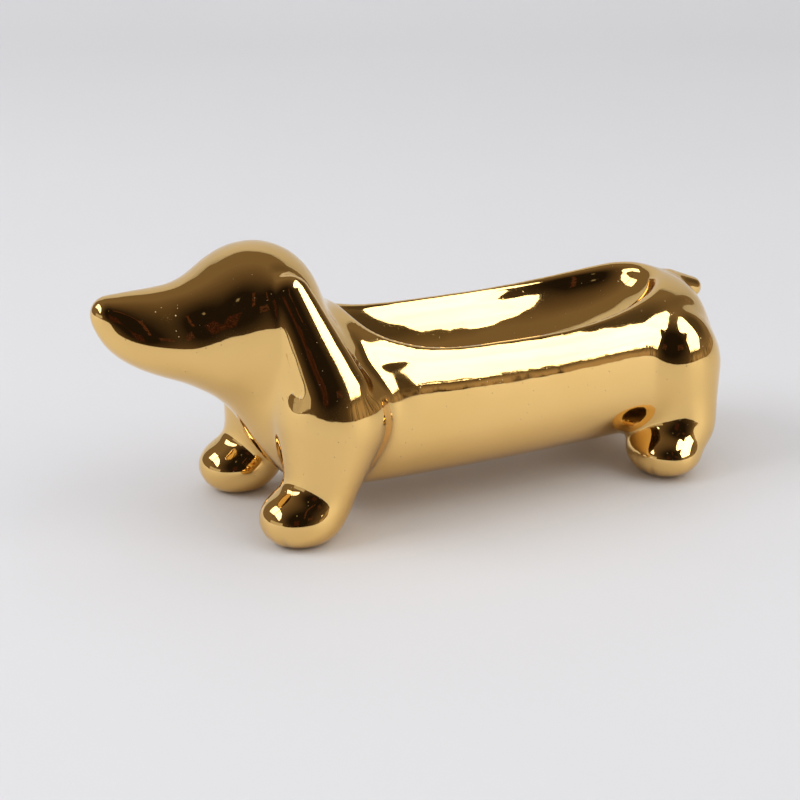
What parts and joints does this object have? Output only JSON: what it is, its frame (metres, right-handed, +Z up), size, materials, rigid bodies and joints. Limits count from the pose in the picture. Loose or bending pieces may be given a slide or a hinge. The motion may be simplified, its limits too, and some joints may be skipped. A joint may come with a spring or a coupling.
{
  "type": "dog figurine",
  "caption": "Hollow ceramic dachshund figurine with a mirror gold finish and a long shallow dish scooped out of its back for small things.",
  "frame": {"origin": "middle of the figurine's footprint, on the surface that the paws stand on", "axes": "-X toward the nose, +X toward the tail, +Y toward the dog's right side, +Z up"},
  "size_m": [0.222, 0.0804, 0.091],
  "materials": {
    "gold_glaze": "mirror gold"
  },
  "bodies": {
    "root": {"torso_shell": "gold_glaze", "head_shell": "gold_glaze", "ear_left": "gold_glaze", "ear_right": "gold_glaze", "foreleg_left": "gold_glaze", "foreleg_right": "gold_glaze", "hind_leg_left": "gold_glaze", "hind_leg_right": "gold_glaze", "tail": "gold_glaze"}
  },
  "joints": []
}
